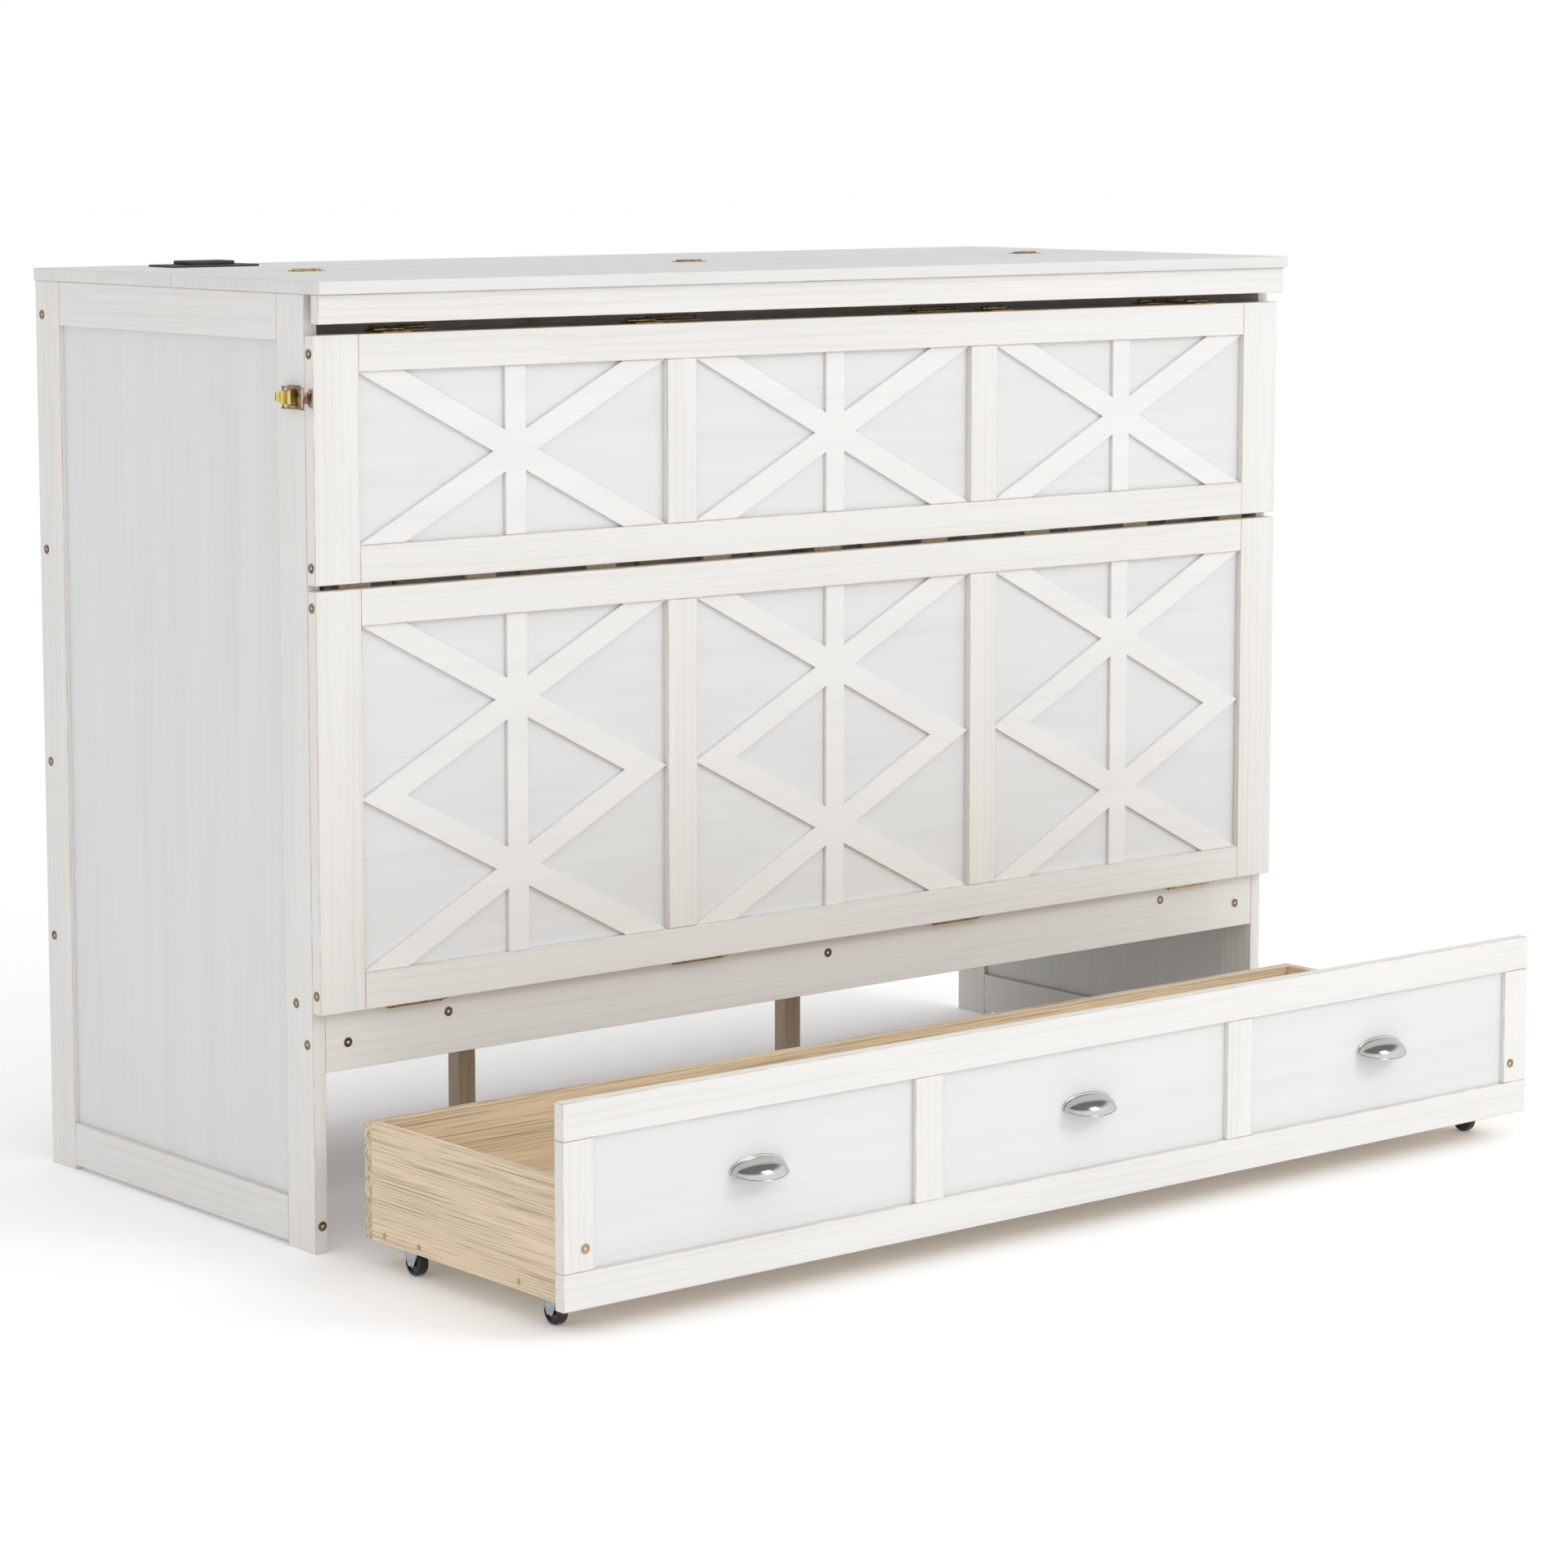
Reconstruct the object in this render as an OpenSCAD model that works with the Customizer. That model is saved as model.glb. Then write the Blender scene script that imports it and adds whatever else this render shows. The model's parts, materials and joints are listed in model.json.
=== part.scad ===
// Cabinet bed: a fold-out bed stored in a low cupboard, with a wheeled drawer under it.
// X runs across the cabinet, Y from front to back, Z up from the floor.
// Modules are drawn from the front plane of the side frames, and place() centres them.

/* [Cabinet] */
// Width over the two side frames
cab_w = 1625; // [1560:5:1700]
// Depth of the side frames
cab_d = 631; // [600:1:680]
// Height of the top surface
top_z = 1182; // [1182:1:1230]
// Thickness of the top boards
top_t = 16; // [14:1:20]
// How far the lid stands out in front of the side frames
top_front = 37; // [30:1:45]
// How far the top stands out at each side
top_side = 2.5; // [1:0.5:6]
// Front-to-back place of the joint between fixed top and lid
seam_y = 294; // [270:1:320]
// Thickness of the side frame boards
side_t = 18; // [16:1:22]
// Width of the side frame posts
post_w = 60; // [50:1:70]

/* [Folding front] */
// Level of the bed base and lower edge of the folding front
deck_z = 298; // [290:1:310]
// Height of the lower front panel
lower_h = 514; // [500:1:520]
// Height of the upper front panel
upper_h = 298.5; // [290:0.5:299]
// Gap between the two front panels
panel_gap = 7; // [4:1:10]
// Thickness of the front panel frames
front_t = 18; // [16:1:20]
// Width of the outer stiles of the front
stile_w = 65; // [55:1:70]
// Width of the rails of the front
rail_w = 45; // [40:1:50]
// Width of the upright muntins of the front
muntin_w = 47; // [40:1:55]
// Width of the lattice strips
strip_w = 31; // [24:1:36]
// How far the lattice stands out of the plywood
strip_t = 5; // [3:0.5:6]
// Thickness of the battens and slats
slat_t = 12; // [10:1:14]
// Pitch of the battens and slats
slat_pitch = 186; // [170:1:190]

/* [Bed extension] */
// Length of the fold-out extension
ext_len = 600; // [560:5:620]
// Depth of the extension frame
ext_t = 35; // [30:1:40]
// Width of the extension over its side rails
ext_w = 1560; // [1480:10:1570]
// Thickness of the leg frames
leg_t = 16; // [14:1:20]

/* [Drawer] */
// Distance that the drawer front stands in front of the side frames
drawer_out = 506; // [300:1:520]
// Thickness of the drawer front
drawer_t = 16; // [14:1:18]
// Lower edge of the drawer front
drawer_z0 = 34; // [33:1:36]
// Upper edge of the drawer front
drawer_z1 = 275; // [260:1:279]
// Width over the drawer box
box_w = 1583; // [1500:1:1585]
// Front-to-back length of the drawer box
box_d = 413; // [360:1:415]
// Upper edge of the drawer box
box_z1 = 177; // [150:1:200]
// Thickness of the drawer box boards
box_t = 15; // [12:1:16]
// Radius of the drawer wheels
wheel_r = 16; // [15:0.5:16]
// Tread width of the drawer wheels
wheel_w = 15; // [12:1:16]

/* [Hidden] */
$fn = 48;

white = "ivory";
oak = "burlywood";
brass = "darkgoldenrod";
joint = 0.1;
hx = cab_w / 2;
inner_x = hx - side_t;
slab_z = top_z - top_t;
pull_proj = 26;
rest_shift = (drawer_out + pull_proj - cab_d) / 2;
side_rail_z0 = 6;
side_rail_w = 57;
panel_t = 6;
panel_set = 6;
rail_z0 = 223;
beam_z0 = 250;
beam_y = 422;
beam_t = 25;
cleat_w = 40;
slat_w = 46;
slat_top = deck_z + slat_t;
batten_gap = 3;
frame_rail_w = 45;
back_t = 6;
back_y1 = cab_d - 6;
back_rail_y1 = back_y1 - back_t - 0.2;
back_rail_y0 = back_rail_y1 - side_t;
back_top_rail_w = 61;
valance_set = 6;
valance_t = 16;
valance_h = 35;
base_leg_x = 288;
base_leg_w = 28;

// Outlet in the fixed top
outlet_x = -615;
outlet_y = 537;
outlet_w = 130;
outlet_d = 63;
outlet_lip = 8;
outlet_fit = 0.5;
outlet_plate_t = 3;
outlet_drop = 42;
socket_w = 70;
socket_d = 38;
socket_h = 5;

// Folding front
back_gap = 0.3;
front_y0 = -back_gap - front_t;
lower_z1 = deck_z + lower_h;
upper_z0 = lower_z1 + panel_gap;
upper_z1 = upper_z0 + upper_h;
ply_t = 8;
ply_y1 = -back_gap - 1;
ply_y0 = ply_y1 - ply_t;
front_opening = cab_w - 2 * stile_w;
bay_w = (front_opening - 2 * muntin_w) / 3;

// Hinges: the pin stands this far off the two faces that carry the leaves
knuckle_r = 3;
hinge_off = 3.2;
knuckle_gap = 0.2;
leaf_t = 1.2;
pin_r = 1.2;
pin_head = 0.8;
pin_fit = 0.05;
fold_y = -hinge_off;
fold_z = deck_z - hinge_off;
lid_hinge_off = 1.6;
lid_axis_z = top_z + lid_hinge_off;
lid_leaf_w = 11;
lid_knuckle_r = 1.5;
lid_pin_r = 0.7;
deck_axis_y = slat_t + 0.5;
deck_axis_z = upper_z1 + hinge_off;
ext_y0 = deck_axis_y + 0.5;
ext_y1 = ext_y0 + ext_t;
leg_axis_y = ext_y1 + 0.5;
ext_z1 = upper_z1;
ext_z0 = ext_z1 - ext_len;
foot_axis_z = ext_z0 - hinge_off;
// The deployed leg pivots stand at this height, which sets the leg length
leg_pivot_h = fold_z + 2 * deck_axis_y - leg_axis_y - fold_y;
leg_len = leg_pivot_h - hinge_off - 1;
leg_frame_w = 1520;
leg_rail_w = 50;
long_hinge = 80;
rail_leaf_w = 13;
short_hinge = 42;
knuckles = 5;
rail_hinge_x = [-665, -223, 223, 665];
deck_hinge_x = [-684, -300, 300, 684];
leg_hinge_x = [-646, -223, 223, 646];
lid_hinge_x = [-615, 0, 615];

// Connector bolts
bolt_head_r = 6;
bolt_hex_r = 2.2;
side_bolt_z = [307, 538, 817, 1122];
rail_bolt_at = [[-762, 257], [-613, 276], [0, 276], [613, 278], [762, 257]];

// Latch
latch_z = 1043;
latch_base_end = 36;
lever_x = 7;
lever_y = 22;
lever_end = 42;
loop_x = 10.5;
loop_y = 31;

// Drawer
front_face_y = -drawer_out;
box_y0 = front_face_y + drawer_t;
box_y1 = box_y0 + box_d;
drawer_stile = 44;
drawer_rail = 44;
drawer_muntin = 45;
caster_x = 771;
caster_t = 1.2;
axle_r = 2.5;
caster_y = [box_y0 + 55, box_y1 - 79];
bottom_t = 5;
drawer_opening = cab_w - 2 * drawer_stile;
drawer_bay = (drawer_opening - 2 * drawer_muntin) / 3;
drawer_panel_set = 6;
pull_w = 85;
pull_h = 26;
pull_wall = 2.2;
pull_z = 148;

module place() {
    translate([0, rest_shift, 0]) children();
}

module board(x0, y0, z0, x1, y1, z1) {
    translate([x0, y0, z0]) cube([x1 - x0, y1 - y0, z1 - z0]);
}

module mirror_pair() {
    children();
    mirror([1, 0, 0]) children();
}

module rod_x(len, r) {
    rotate([0, 90, 0]) cylinder(h = len, r = r, center = true);
}

// One half of a butt hinge, drawn about its pin, which lies along X
module hinge_half(len, parity, y0, z0, y1, z1) {
    seg = len / knuckles;
    difference() {
        union() {
            board(-len / 2, y0, z0, len / 2, y1, z1);
            for (i = [parity : 2 : knuckles - 1])
                translate([(i + 0.5) * seg - len / 2, 0, 0]) rod_x(seg - knuckle_gap, knuckle_r);
        }
        for (i = [1 - parity : 2 : knuckles - 1])
            translate([(i + 0.5) * seg - len / 2, 0, 0]) rod_x(seg, knuckle_r + 1.5 * knuckle_gap);
        rod_x(len + 2, pin_r + pin_fit);
    }
}

module hinge_pin(len) {
    rod_x(len, pin_r);
    for (s = [-1, 1]) translate([s * (len + pin_head) / 2, 0, 0]) rod_x(pin_head, pin_r + 0.7);
}

// Round-headed connector bolt along +X, its head standing out at X = 0
module bolt(len) {
    head_h = 2;
    proud = 0.7;
    translate([-proud, 0, 0]) rotate([0, 90, 0]) {
        difference() {
            cylinder(h = head_h, r = bolt_head_r);
            translate([0, 0, -1]) cylinder(h = head_h + 0.3, r = bolt_hex_r, $fn = 6);
        }
        translate([0, 0, head_h]) cylinder(h = len, r = bolt_head_r / 2);
    }
}

module side_frame() {
    board(-hx, 0, 0, -inner_x, post_w, slab_z);
    board(-hx, cab_d - post_w, 0, -inner_x, cab_d, slab_z);
    for (z = [side_rail_z0, slab_z - side_rail_w])
        board(-hx, post_w + joint, z, -inner_x, cab_d - post_w - joint, z + side_rail_w);
}

module side_panel() {
    x0 = -hx + panel_set;
    z0 = side_rail_z0 + side_rail_w + joint;
    board(x0, post_w + joint, z0, x0 + panel_t, cab_d - post_w - joint,
          slab_z - side_rail_w - joint);
}

module left_side_frame() { color(white) side_frame(); }
module left_side_panel() { color(white) side_panel(); }
module right_side_frame() { color(white) mirror([1, 0, 0]) side_frame(); }
module right_side_panel() { color(white) mirror([1, 0, 0]) side_panel(); }

module rear_top_board() {
    color(white) difference() {
        board(-hx - top_side, seam_y + 0.5, slab_z, hx + top_side, cab_d, top_z);
        translate([outlet_x, outlet_y, slab_z])
            cube([outlet_w - 2 * outlet_lip, outlet_d - 2 * outlet_lip, 3 * top_t], center = true);
    }
}

module outlet_housing() {
    color("dimgray") translate([outlet_x, outlet_y, top_z - outlet_drop / 2])
        cube([outlet_w - 2 * (outlet_lip + outlet_fit), outlet_d - 2 * (outlet_lip + outlet_fit),
              outlet_drop], center = true);
}

module outlet_plate() {
    color("black") translate([outlet_x - outlet_w / 2, outlet_y - outlet_d / 2, top_z])
        cube([outlet_w, outlet_d, outlet_plate_t]);
}

module outlet_sockets() {
    color("black") translate([outlet_x - socket_w / 2, outlet_y - socket_d / 2, top_z + outlet_plate_t])
        cube([socket_w, socket_d, socket_h]);
}

module back_panel() {
    color(white) mirror_pair()
        board(joint, back_y1 - back_t, rail_z0, inner_x - joint, back_y1, slab_z - joint);
}

module back_rails() {
    x1 = inner_x - joint;
    top_rail_z0 = slab_z - back_top_rail_w;
    color(white) {
        board(-x1, back_rail_y0, rail_z0, x1, back_rail_y1, deck_z);
        board(-x1, back_rail_y0, top_rail_z0, x1, back_rail_y1, slab_z - joint);
        board(-post_w / 2, back_rail_y0, slat_top + joint,
              post_w / 2, back_rail_y1, top_rail_z0 - joint);
    }
}

module front_rail() {
    color(white) difference() {
        board(-inner_x + joint, 0, rail_z0, inner_x - joint, side_t, deck_z);
        for (x = rail_hinge_x)
            board(x - long_hinge / 2 - joint, -1, deck_z - leaf_t - 2 * joint,
                  x + long_hinge / 2 + joint, rail_leaf_w, deck_z + 1);
    }
}

module base_slats() {
    color("wheat") for (i = [-4 : 4])
        board(i * slat_pitch - slat_w / 2, 1, deck_z, i * slat_pitch + slat_w / 2, cab_d - 14, slat_top);
}

module base_beam() {
    color("tan") board(-inner_x + joint, beam_y, beam_z0, inner_x - joint, beam_y + beam_t, deck_z);
}

module base_legs() {
    color("tan") mirror_pair()
        board(base_leg_x - base_leg_w / 2, beam_y, 0, base_leg_x + base_leg_w / 2,
              beam_y + beam_t, beam_z0);
}

module side_bolts() {
    color(brass) mirror_pair() {
        for (z = side_bolt_z) translate([-hx, cab_d - 16, z]) bolt(14);
        translate([-hx, 36, 306]) bolt(14);
        translate([-hx, 12.5, 258]) bolt(14);
        translate([-hx + 10, 0, 34]) rotate([0, 0, 90]) bolt(18);
    }
}

module rail_bolts() {
    color(brass) for (p = rail_bolt_at)
        translate([p[0], 0, p[1]]) rotate([0, 0, 90]) bolt(14);
}

module lid_board() {
    color(white)
        board(-hx - top_side, -top_front, slab_z, hx + top_side, seam_y - 0.5, top_z);
}

module lid_valance() {
    color(white) board(-hx, -top_front + valance_set, slab_z - valance_h,
                       hx, -top_front + valance_set + valance_t, slab_z - joint);
}

// The lid's leaves lie on the boards, and its pin stands just above them
module lid_leaf(parity) {
    seg = short_hinge / knuckles;
    for (x = lid_hinge_x) translate([x, seam_y, lid_axis_z]) difference() {
        union() {
            translate([-short_hinge / 2, parity == 0 ? 0 : -lid_leaf_w, -lid_hinge_off])
                cube([short_hinge, lid_leaf_w, 1]);
            for (i = [parity : 2 : knuckles - 1])
                translate([(i - 2) * seg, 0, 0]) rod_x(seg - knuckle_gap, lid_knuckle_r);
        }
        for (i = [1 - parity : 2 : knuckles - 1])
            translate([(i - 2) * seg, 0, 0]) rod_x(seg, lid_knuckle_r + 0.3);
        rod_x(short_hinge + 8, lid_pin_r + pin_fit);
    }
}

module lid_hinges_fixed() { color(brass) lid_leaf(0); }
module lid_hinges_moving() { color(brass) lid_leaf(1); }
module lid_hinge_pins() {
    color(brass) for (x = lid_hinge_x)
        translate([x, seam_y, lid_axis_z]) rod_x(short_hinge + 1, lid_pin_r);
}

// The fixed leaf is let into the top of the rail, level with the moving one
module rail_hinges_fixed() {
    color(brass) for (x = rail_hinge_x) translate([x, fold_y, fold_z])
        hinge_half(long_hinge, 0, 0, hinge_off - leaf_t - joint,
                   hinge_off + rail_leaf_w - joint, hinge_off - joint);
}

module rail_hinges_moving() {
    color(brass) for (x = rail_hinge_x) translate([x, fold_y, fold_z])
        hinge_half(long_hinge, 1, -14, hinge_off - leaf_t, 0, hinge_off);
}

module rail_hinge_pins() {
    color(brass) for (x = rail_hinge_x) translate([x, fold_y, fold_z]) hinge_pin(long_hinge);
}

// Frame of the folding front: stiles, rails and muntins as separate boards
module front_frame(z0, h) {
    z1 = z0 + h;
    for (s = [-1, 1])
        translate([s * (hx - stile_w / 2), 0, 0])
            board(-stile_w / 2, front_y0, z0, stile_w / 2, -back_gap, z1);
    for (z = [z0, z1 - rail_w])
        board(-front_opening / 2 + joint, front_y0, z,
              front_opening / 2 - joint, -back_gap, z + rail_w);
    for (s = [-1, 1])
        translate([s * (bay_w + muntin_w) / 2, 0, 0])
            board(-muntin_w / 2, front_y0, z0 + rail_w + joint,
                  muntin_w / 2, -back_gap, z1 - rail_w - joint);
}

// Plywood set into each bay, seen between the rails
module front_ply(z0, h) {
    for (i = [-1 : 1])
        translate([i * (bay_w + muntin_w), 0, 0])
            board(-bay_w / 2 + joint, ply_y0, z0 + rail_w + joint,
                  bay_w / 2 - joint, ply_y1, z0 + h - rail_w - joint);
}

// Outline of a slanting strip whose ends are cut level and touch two opposite corners
module slant_strip(w, h, cut) {
    polygon([[-w / 2, h / 2], [-w / 2 + cut, h / 2], [w / 2, -h / 2], [w / 2 - cut, -h / 2]]);
}

// A cross of two slanting strips, its level cuts sized for the strip's true width
module cross_motif(w, h) {
    cut = strip_w * sqrt((w - 2 * strip_w) ^ 2 + h ^ 2) / h;
    slant_strip(w, h, cut);
    mirror([1, 0, 0]) slant_strip(w, h, cut);
}

// Lattice in the three bays of a panel: one cross a bay, or two stacked to make a diamond
module lattice(z0, h, rows) {
    open_h = h - 2 * rail_w - 2 * joint;
    row_h = open_h / rows;
    w = bay_w - 2 * joint;
    for (i = [-1 : 1])
        translate([i * (bay_w + muntin_w), ply_y0 - 0.05, z0 + rail_w + joint])
            rotate([90, 0, 0]) linear_extrude(strip_t) {
                for (r = [0 : rows - 1])
                    translate([0, (r + 0.5) * row_h]) cross_motif(w, row_h);
                translate([-strip_w / 2, 0]) square([strip_w, open_h]);
            }
}

module lower_front_frame() { color(white) front_frame(deck_z, lower_h); }
module lower_front_panel() { color(white) front_ply(deck_z, lower_h); }
module lower_lattice() { color(white) lattice(deck_z, lower_h, 2); }
module upper_front_frame() { color(white) front_frame(upper_z0, upper_h); }
module upper_front_panel() { color(white) front_ply(upper_z0, upper_h); }
module upper_lattice() { color(white) lattice(upper_z0, upper_h, 1); }

module front_battens() {
    color("wheat") {
        board(-ext_w / 2, 0, upper_z1 - cleat_w, ext_w / 2, slat_t, upper_z1);
        for (i = [-4 : 4])
            board(i * slat_pitch - slat_w / 2, 0, slat_top + batten_gap,
                  i * slat_pitch + slat_w / 2, slat_t, upper_z1 - cleat_w - joint);
    }
}

module front_bolts() {
    color(brass) mirror_pair()
        for (z = [deck_z + 23, lower_z1 - 20, upper_z0 + 21, upper_z1 - 22])
            translate([-hx, front_y0 + front_t / 2, z]) bolt(40);
}

module deck_hinge_set(parity) {
    for (x = deck_hinge_x) translate([x, deck_axis_y, deck_axis_z])
        hinge_half(short_hinge, parity, parity == 0 ? -20 : 0, -hinge_off,
                   parity == 0 ? 0 : 16, leaf_t - hinge_off);
}

module deck_hinges_fixed() { color(brass) deck_hinge_set(0); }
module deck_hinges_moving() { color(brass) deck_hinge_set(1); }
module deck_hinge_pins() {
    color(brass) for (x = deck_hinge_x) translate([x, deck_axis_y, deck_axis_z]) hinge_pin(short_hinge);
}

module extension_frame() {
    color("wheat") {
        for (z = [ext_z0, ext_z1 - frame_rail_w])
            board(-ext_w / 2, ext_y0, z, ext_w / 2, ext_y1, z + frame_rail_w);
        for (x = [-1, 0, 1] * (ext_w - frame_rail_w) / 2)
            board(x - frame_rail_w / 2, ext_y0, ext_z0 + frame_rail_w + joint,
                  x + frame_rail_w / 2, ext_y1, ext_z1 - frame_rail_w - joint);
    }
}

module extension_slats() {
    color("wheat") for (i = [-3.5 : 3.5])
        board(i * slat_pitch - slat_w / 2, ext_y0, ext_z0 + frame_rail_w + joint,
              i * slat_pitch + slat_w / 2, ext_y0 + slat_t, ext_z1 - frame_rail_w - joint);
}

module leg_axis_at(x) { translate([x, leg_axis_y, deck_axis_z]) children(); }
module foot_axis_at(x) {
    translate([x, leg_axis_y, foot_axis_z]) mirror([0, 0, 1]) children();
}

// Leaves on the extension for both leg frames, with their pins
module leg_hinges_fixed() {
    color(brass) for (x = leg_hinge_x) {
        leg_axis_at(x) hinge_half(long_hinge, 0, -15, -hinge_off, 0, leaf_t - hinge_off);
        foot_axis_at(x) hinge_half(long_hinge, 0, -15, -hinge_off, 0, leaf_t - hinge_off);
    }
}

module leg_leaf() {
    hinge_half(long_hinge, 1, 0, -hinge_off, 15, leaf_t - hinge_off);
    hinge_pin(long_hinge);
}

module leg_hinges_moving() { color(brass) for (x = leg_hinge_x) leg_axis_at(x) leg_leaf(); }
module foot_hinges_moving() { color(brass) for (x = leg_hinge_x) foot_axis_at(x) leg_leaf(); }

// A leg frame hangs down from its hinge end at Z = 0
module leg_frame() {
    y0 = leg_axis_y + 0.5;
    for (x = [-1, 0, 1] * (leg_frame_w - post_w) / 2)
        board(x - post_w / 2, y0, -leg_len, x + post_w / 2, y0 + leg_t, -leg_rail_w - joint);
    board(-leg_frame_w / 2, y0, -leg_rail_w, leg_frame_w / 2, y0 + leg_t, 0);
}

module middle_leg_frame() { color("wheat") translate([0, 0, ext_z1]) leg_frame(); }
module foot_leg_frame() {
    color("wheat") translate([0, 0, ext_z0]) mirror([0, 0, 1]) leg_frame();
}

// Latch on the left side, drawn from the outer face of the side frame
module latch_at() { translate([-hx, 0, latch_z]) children(); }

module latch_base() {
    color(brass) latch_at() difference() {
        union() {
            board(-1.5, 8, -14, 0, latch_base_end, 14);
            for (z = [-10, 8.5]) {
                translate([-lever_x, lever_y, z]) cylinder(h = 1.5, r = 4);
                board(-lever_x, lever_y - 4, z, -1, lever_y + 4, z + 1.5);
            }
            translate([-lever_x, lever_y, -11.5]) cylinder(h = 23, r = 1.2);
        }
        for (z = [-11, 11])
            translate([-3, latch_base_end - 5, z]) rotate([0, 90, 0]) cylinder(h = 5, r = 1.4);
    }
}

module latch_strike() {
    color(brass) latch_at() {
        board(-1.4, -17, -12, 0, -3, 12);
        board(-8.6, -12.5, -6, -1.4, -11, 6);
        board(-8.6, -14.5, -6, -7.4, -12.5, 6);
    }
}

module latch_lever() {
    color(brass) latch_at() difference() {
        union() {
            translate([-lever_x, lever_y, -8]) cylinder(h = 16, r = 2.6);
            board(-lever_x - 1.5, lever_y, -8, -lever_x, lever_end, 8);
            translate([-loop_x, loop_y, -8]) cylinder(h = 16, r = 2.2);
            board(-loop_x, loop_y - 1.5, -8, -lever_x, loop_y + 1.5, 8);
            translate([-lever_x - 5, lever_end, -7]) intersection() {
                difference() {
                    cylinder(h = 14, r = 5);
                    translate([0, 0, -1]) cylinder(h = 16, r = 3.6);
                }
                translate([0, 0, -1]) cube([6, 6, 16]);
            }
        }
        translate([-lever_x, lever_y, -9]) cylinder(h = 18, r = 1.25);
        translate([-loop_x, loop_y, -9]) cylinder(h = 18, r = 1.05);
    }
}

module latch_loop() {
    color(brass) latch_at() {
        for (z = [-12.6, 12.6])
            translate([-loop_x - 1, -14.5, z]) rotate([-90, 0, 0]) cylinder(h = 46, r = 1);
        translate([-loop_x - 1, -14.5, -13.6]) cylinder(h = 27.2, r = 1);
        translate([-loop_x, loop_y, -13.4]) cylinder(h = 26.8, r = 1);
    }
}

module drawer_front_frame() {
    y1 = box_y0;
    color(white) {
        for (s = [-1, 1]) translate([s * (hx - drawer_stile / 2), 0, 0])
            board(-drawer_stile / 2, front_face_y, drawer_z0 + drawer_rail + joint,
                  drawer_stile / 2, y1, drawer_z1 - drawer_rail - joint);
        for (z = [drawer_z0, drawer_z1 - drawer_rail])
            board(-hx, front_face_y, z, hx, y1, z + drawer_rail);
        for (s = [-1, 1]) translate([s * (drawer_bay + drawer_muntin) / 2, 0, 0])
            board(-drawer_muntin / 2, front_face_y, drawer_z0 + drawer_rail + joint,
                  drawer_muntin / 2, y1, drawer_z1 - drawer_rail - joint);
    }
}

module drawer_front_panel() {
    color(white) for (i = [-1 : 1])
        translate([i * (drawer_bay + drawer_muntin), 0, 0])
            board(-drawer_bay / 2 + joint, front_face_y + drawer_panel_set,
                  drawer_z0 + drawer_rail + joint, drawer_bay / 2 - joint, box_y0 - 1, drawer_z1 - drawer_rail - joint);
}

module drawer_box_sides() {
    color(oak) mirror_pair()
        board(-box_w / 2, box_y0 + joint, drawer_z0, -box_w / 2 + box_t,
              box_y1 - box_t - joint, box_z1);
}

module drawer_box_back() {
    color(oak) board(-box_w / 2, box_y1 - box_t, drawer_z0, box_w / 2, box_y1, box_z1);
}

module drawer_box_bottom() {
    color(oak) board(-box_w / 2 + box_t + joint, box_y0 + joint, drawer_z0,
                     box_w / 2 - box_t - joint, box_y1 - box_t - joint,
                     drawer_z0 + bottom_t);
}

// Half-cup pull: a thin shell that bulges out of the drawer face and is open below
module cup_shell(w, h, d, wall) {
    intersection() {
        difference() {
            scale([w / 2, d, h]) sphere(r = 1, $fn = 40);
            scale([w / 2 - wall, d - wall, h - wall]) sphere(r = 1, $fn = 40);
        }
        board(-w, -d - 1, 0, w, 0, h + 1);
    }
}

module cup_pulls() {
    color("silver") for (i = [-1 : 1])
        translate([i * (drawer_bay + drawer_muntin), front_face_y + drawer_panel_set, pull_z])
            cup_shell(pull_w, pull_h, pull_proj + drawer_panel_set, pull_wall);
}

module drawer_bolts() {
    color(brass) mirror_pair() {
        translate([-hx + 31, front_face_y, 104]) rotate([0, 0, 90]) bolt(12);
        for (y = [box_y0 + 99, box_y1 - 113, box_y1 - 41])
            translate([-box_w / 2, y, 44]) scale(0.6) bolt(18);
    }
}

module caster_at(x, y) { translate([x, y, wheel_r]) children(); }

module caster_bracket() {
    gap = wheel_w / 2 + 0.8;
    half_plate = 16;
    plate_z = drawer_z0 - wheel_r;
    mirror_pair() translate([gap, 0, 0]) rotate([90, 0, 90]) linear_extrude(caster_t)
        polygon([[-half_plate, plate_z], [half_plate, plate_z], [5, -4], [-5, -4]]);
    board(-gap - caster_t, -half_plate, plate_z - caster_t, gap + caster_t, half_plate, plate_z);
    rod_x(2 * gap + 4, axle_r);
}

module caster_brackets() {
    color("slategray") for (x = [-caster_x, caster_x], y = caster_y)
        caster_at(x, y) caster_bracket();
}

// A wheel with rounded shoulders and a dished side round its hub
module wheel(x, y) {
    half = wheel_w / 2;
    shoulder = 4;
    bore_r = axle_r + 0.05;
    color("black") caster_at(x, y) rotate([0, 90, 0]) rotate_extrude() difference() {
        union() {
            translate([bore_r, -half]) square([wheel_r - shoulder - bore_r, wheel_w]);
            translate([bore_r, shoulder - half]) square([wheel_r - bore_r, wheel_w - 2 * shoulder]);
            for (z = [shoulder - half, half - shoulder])
                translate([wheel_r - shoulder, z]) circle(r = shoulder);
        }
        for (z = [half - 2, -half - 1]) translate([2 * axle_r, z]) square([6, 3]);
    }
}

module wheel_front_left() { wheel(-caster_x, caster_y[0]); }
module wheel_front_right() { wheel(caster_x, caster_y[0]); }
module wheel_rear_left() { wheel(-caster_x, caster_y[1]); }
module wheel_rear_right() { wheel(caster_x, caster_y[1]); }

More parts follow.
